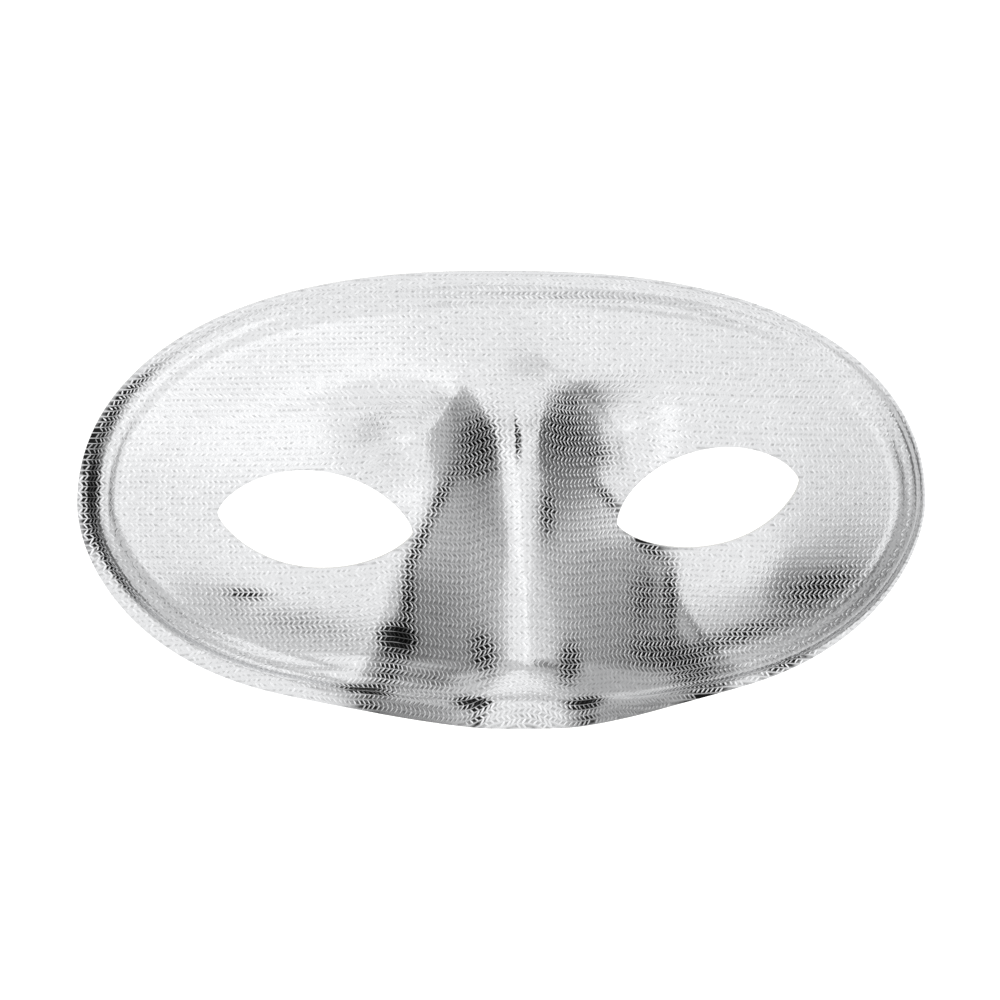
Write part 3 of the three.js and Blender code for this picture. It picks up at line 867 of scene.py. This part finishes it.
def bright_yarn():
    material, tree, surface = new_material("bright_metallic_yarn")
    shade = add_node(tree, "ShaderNodeAttribute", attribute_name="shade").outputs["Fac"]
    fibre = noise(tree, YARN_TWIST, 3.0)
    deep = add_node(tree, "ShaderNodeAttribute", attribute_name="deep").outputs["Fac"]
    worn = maths(tree, "MULTIPLY", spread(tree, shade, 0.88, 1.05), spread(tree, fibre, 0.92, 1.06))
    # Painted highlight and painted reflection: the yarn is painted up to 1.16 times brighter as the map
    # rises to 1, and painted down to near black from 1 to 2.
    painted_bright_yarn = maths(tree, "MULTIPLY", worn, spread(tree, deep, 1.0, 1.16))
    painted_dark_yarn = spread(tree, maths(tree, "SUBTRACT", deep, 1.0), 1.0, DARKEST_PAINTED_YARN)
    lit = maths(tree, "MULTIPLY", painted_bright_yarn, painted_dark_yarn)
    tree.links.new(tinted(tree, SILVER, lit), surface.inputs["Base Color"])
    tree.links.new(spread(tree, noise(tree, YARN_BLUR), 0.06, 0.12), surface.inputs["Roughness"])
    surface.inputs["Metallic"].default_value = 1.0
    bump = add_node(tree, "ShaderNodeBump", {"Strength": 0.12, "Distance": 0.00003, "Height": fibre})
    tree.links.new(bump.outputs[0], surface.inputs["Normal"])
    return material


yarn_finish = bright_yarn()
print("finish:", yarn_finish.name)

# %% Ground between the stitches
# Painted shade and painted reflection in the gaps between rows: sizes of the patches and specks, and the
# darkest painted tone.
GROUND_FIBRE, PAINTED_STROKE_PATCH_SCALE, PAINTED_SPECK_SCALE = 6000.0, 700.0, 900.0
DARKEST_PAINTED_GAP = 0.02


def knit_ground():
    material, tree, surface = new_material("knit_ground")
    fibre = noise(tree, GROUND_FIBRE, 3.0)
    deep = add_node(tree, "ShaderNodeAttribute", attribute_name="deep").outputs["Fac"]
    place = add_node(tree, "ShaderNodeUVMap", uv_map="stitches").outputs[0]
    course = maths(tree, "MULTIPLY", add_node(tree, "ShaderNodeSeparateXYZ", {0: place}).outputs["Y"],
                   float(STITCHES_IN_MAP))
    off_middle = maths(tree, "ABSOLUTE", maths(tree, "SUBTRACT", maths(tree, "FRACT", course), 0.5))
    stroke = add_node(tree, "ShaderNodeMapRange", {0: off_middle, 1: 0.5, 2: 0.3}).outputs[0]
    spot = add_node(tree, "ShaderNodeMapRange", {0: off_middle, 1: 0.3, 2: 0.1}).outputs[0]
    # Painted reflection: dark strokes are painted in the gaps between rows where the painted reflection
    # map is strong.
    painted_strokes = maths(tree, "MULTIPLY", maths(tree, "MULTIPLY", deep, stroke),
                   spread(tree, noise(tree, PAINTED_STROKE_PATCH_SCALE), 0.9, 1.6))
    # Painted shade: random dark specks are painted in the gaps between rows everywhere.
    painted_specks = maths(tree, "MULTIPLY", spot, spread(tree, noise(tree, PAINTED_SPECK_SCALE), -0.45, 0.75))
    gap = maths(tree, "ADD", painted_strokes, maths(tree, "MAXIMUM", painted_specks, 0.0))
    lit = maths(tree, "MULTIPLY", spread(tree, gap, 1.0, DARKEST_PAINTED_GAP), spread(tree, fibre, 0.8, 1.0))
    tree.links.new(tinted(tree, SILVER, lit), surface.inputs["Base Color"])
    tree.links.new(spread(tree, fibre, 0.1, 0.16), surface.inputs["Roughness"])
    surface.inputs["Metallic"].default_value = 1.0
    bump = add_node(tree, "ShaderNodeBump", {"Strength": 0.3, "Distance": 0.00005, "Height": fibre})
    tree.links.new(bump.outputs[0], surface.inputs["Normal"])
    return material


def backing(name, colour, roughness):
    material, tree, surface = new_material(name)
    felt = noise(tree, 1800.0, 5.0)
    blotch = noise(tree, 60.0, 2.0)
    tone = maths(tree, "MULTIPLY", spread(tree, felt, 0.9, 1.03), spread(tree, blotch, 0.96, 1.02))
    tree.links.new(tinted(tree, colour, tone), surface.inputs["Base Color"])
    surface.inputs["Roughness"].default_value = roughness
    bump = add_node(tree, "ShaderNodeBump", {"Strength": 0.4, "Distance": 0.00015, "Height": felt})
    tree.links.new(bump.outputs[0], surface.inputs["Normal"])
    return material


shell.data.materials.append(knit_ground())
shell.data.materials.append(backing("backing_sheet", BACKING_WHITE, 0.7))
shell.data.materials.append(backing("cut_edge", EDGE_GREY, 0.6))
print("shell finishes:", [m.name for m in shell.data.materials])

# %% Lay the stitches over the front
stitch_columns = 2 * int(np.abs(front_map[:, 0]).max() + 2)
stitch_rows = int(np.abs(front_map[:, 1]).max() + 2)
# The sheet carries the painted reflection map on to the stitches.
knit_sheet = make_mesh("knit_sheet", front_points, front_quads, front_map,
                       {"from_cut": front_from_cut, "deep": front_painted_reflection})
settings = {
    "Columns": stitch_columns, "Rows": stitch_rows, "Stitches in map": float(STITCHES_IN_MAP),
    "Reach across": 0.44, "Reach along": 0.50,
    "Bar width": 0.66 * MM, "Bar height": 0.08 * MM,
    "Rise where deep": 0.8, "Narrower where deep": 0.42, "Sink": 0.02 * MM,
    "Unevenness": 0.16, "Bare edge": 0.35, "Seed": 7, "Bar": bar, "Finish": yarn_finish,
}
laying = knit_sheet.modifiers.new("lay_stitches", "NODES")
laying.node_group = lay_stitches
for item in lay_stitches.interface.items_tree:
    if item.in_out == "INPUT" and item.name in settings:
        laying[item.identifier] = settings[item.name]
evaluated = knit_sheet.evaluated_get(bpy.context.evaluated_depsgraph_get())
stitch_mesh = bpy.data.meshes.new_from_object(evaluated)
knit_sheet.modifiers.remove(laying)
stitches = bpy.data.objects.new("knit_stitches", stitch_mesh)
bpy.context.scene.collection.objects.link(stitches)
bpy.data.objects.remove(knit_sheet)
bpy.data.objects.remove(bar)
print("stitches:", len(stitch_mesh.polygons) // BAR_SIDES)

# %% [markdown]
# ## On the frame
# Each piece has to be told which body carries it and which solid it stands for, so that both can be
# moved and exported. This mask has one body. Its two pieces ride on that, and together they stand for
# the plain solid.

# %% Ride and replace
for piece in (shell, stitches):
    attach(piece, "root")
    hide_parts("mask_shell")
print("pieces:", [(piece.name, len(piece.data.polygons)) for piece in (shell, stitches)])

# %% [markdown]
# ## Table, light and camera
# Metal is lit by what it mirrors. A photographer stands large white panels round it and leaves dark
# gaps, and the gaps draw the form. So the surroundings are a grey room with fourteen soft panels, each
# a direction, a width and a brightness. Their numbers weren't chosen by hand: a search program found
# the light that brings this form nearest to the photograph, and all of it was then made 1.17 times
# brighter. The camera's numbers come from a fit of the outline and the eye holes. The table is pale and
# bright, and isn't mirrored, so the steep sides keep their dark lines.

# %% Camera
SENSOR = 36.0
PIXELS = 1000
CAMERA_YAW, CAMERA_PITCH, CAMERA_ROLL = (math.radians(a) for a in (7.5, -8.5, -1.13))
CAMERA_DISTANCE = 0.8
PIXELS_PER_MM = 4.851
PRINCIPAL = (506.4, 504.3)
FARTHEST_SEEN = 10


def camera_axes():
    a, p, r = CAMERA_YAW, CAMERA_PITCH, CAMERA_ROLL
    right = np.array([math.cos(a), 0, math.sin(a)])
    up = np.array([-math.sin(a) * math.sin(p), math.cos(p), math.cos(a) * math.sin(p)])
    back = np.cross(right, up)
    turned_right = right * math.cos(r) - up * math.sin(r)
    turned_up = right * math.sin(r) + up * math.cos(r)
    return turned_right, turned_up, back


cam_right, cam_up, cam_back = camera_axes()
camera_data = bpy.data.cameras.new("camera")
camera = bpy.data.objects.new("camera", camera_data)
bpy.context.scene.collection.objects.link(camera)
target = np.array([0, MIDDLE_TO_BOX * MM, 0])
place = np.eye(4)
place[:3, 0], place[:3, 1], place[:3, 2] = cam_right, cam_up, cam_back
place[:3, 3] = target + cam_back * CAMERA_DISTANCE
camera.matrix_world = Matrix(place.tolist())
camera_data.sensor_width = SENSOR
camera_data.lens = SENSOR * PIXELS_PER_MM * (CAMERA_DISTANCE / MM) / PIXELS
camera_data.shift_x = -(PRINCIPAL[0] - PIXELS / 2) / PIXELS
camera_data.shift_y = (PRINCIPAL[1] - PIXELS / 2) / PIXELS
camera_data.clip_end = FARTHEST_SEEN
bpy.context.scene.camera = camera
print("camera at", [round(v, 4) for v in camera.location], "lens", round(camera_data.lens, 1))

# %% Table
TABLE_SIZE, UNDER_THE_RIM, TABLE_GLOW = 6, 0.0001, 0.55
bpy.ops.mesh.primitive_plane_add(size=TABLE_SIZE, location=(0, 0, low.z - UNDER_THE_RIM))
table = bpy.context.object
table.name = "table"
table_finish, _, table_surface = new_material("pale_table")
table_surface.inputs["Base Color"].default_value = (0.9, 0.9, 0.9, 1)
table_surface.inputs["Roughness"].default_value = 0.9
table_surface.inputs["Emission Color"].default_value = (1, 1, 1, 1)
table_surface.inputs["Emission Strength"].default_value = TABLE_GLOW
table.data.materials.append(table_finish)
table.visible_glossy = False
print("table at", round(low.z - UNDER_THE_RIM, 4))

# %% Grey room with soft panels
ROOM_GREY = 0.785
PANELS = [
    # name, angle from the line of sight, way round from the right, half-angle, softness, brightness
    ("low_card", 103.9, -115.4, 36.5, 2.5, 1.157),
    ("tent", 34.9, 112.2, 87.1, 6.9, 1.111),
    ("left_wall", 112.0, 180.4, 69.9, 6.2, 0.641),
    ("right_wall", 81.1, -28.2, 36.7, 3.6, 0.567),
    ("left_gap", 91.5, -158.3, 32.9, 6.9, 0.204),
    ("right_gap", 64.2, -43.4, 10.7, 6.4, 0.271),
    ("far_right_gap", 93.6, 5.3, 16.6, 1.7, 0.235),
    ("upper_light", 65.6, 123.0, 25.9, 5.7, 1.132),
    ("key", 1.6, 104.4, 11.4, 3.2, 1.35),
    ("foot_card", 59.4, -125.9, 24.5, 1.7, 0.772),
    ("upper_left_gap", 118.6, 140.3, 19.2, 5.8, 0.571),
    ("right_card", 50.2, -3.3, 12.6, 6.9, 0.859),
    ("upper_right_card", 52.9, 57.0, 15.5, 2.9, 0.897),
    ("table_card", 140.0, -136.4, 34.6, 5.0, 0.985),
]


def studio():
    world = bpy.data.worlds.new("studio")
    world.use_nodes = True
    tree = world.node_tree
    tree.nodes.clear()
    way = add_node(tree, "ShaderNodeTexCoord").outputs["Generated"]

    def part_along(direction):
        dot = add_node(tree, "ShaderNodeVectorMath", {0: way, 1: tuple(direction)},
                       operation="DOT_PRODUCT")
        return dot.outputs["Value"]

    def soft_step(value, start, end, first, last):
        node = add_node(tree, "ShaderNodeMapRange", {0: value, 1: start, 2: end, 3: first, 4: last},
                        interpolation_type="SMOOTHSTEP")
        return node.outputs[0]

    def cover(off_axis, way_round, half_angle, softness):
        off, turn, half, soft = (math.radians(a) for a in (off_axis, way_round, half_angle, softness))
        across = math.cos(turn) * cam_right + math.sin(turn) * cam_up
        angle = maths(tree, "ARCCOSINE", part_along(math.sin(off) * across + math.cos(off) * cam_back))
        return soft_step(angle, half + soft, half - soft, 0.0, 1.0)

    light = add_node(tree, "ShaderNodeValue").outputs[0]
    light.default_value = ROOM_GREY
    for _, *place, brightness in PANELS:
        light = add_node(tree, "ShaderNodeMix", {0: cover(*place), 2: light, 3: brightness},
                         data_type="FLOAT").outputs[0]
    background = add_node(tree, "ShaderNodeBackground", {"Strength": light})
    background.inputs["Color"].default_value = (1, 1, 1, 1)
    out = add_node(tree, "ShaderNodeOutputWorld")
    tree.links.new(background.outputs[0], out.inputs[0])
    return world


bpy.context.scene.world = studio()
bpy.context.scene.view_settings.view_transform = "Standard"
print("panels:", [panel[0] for panel in PANELS])
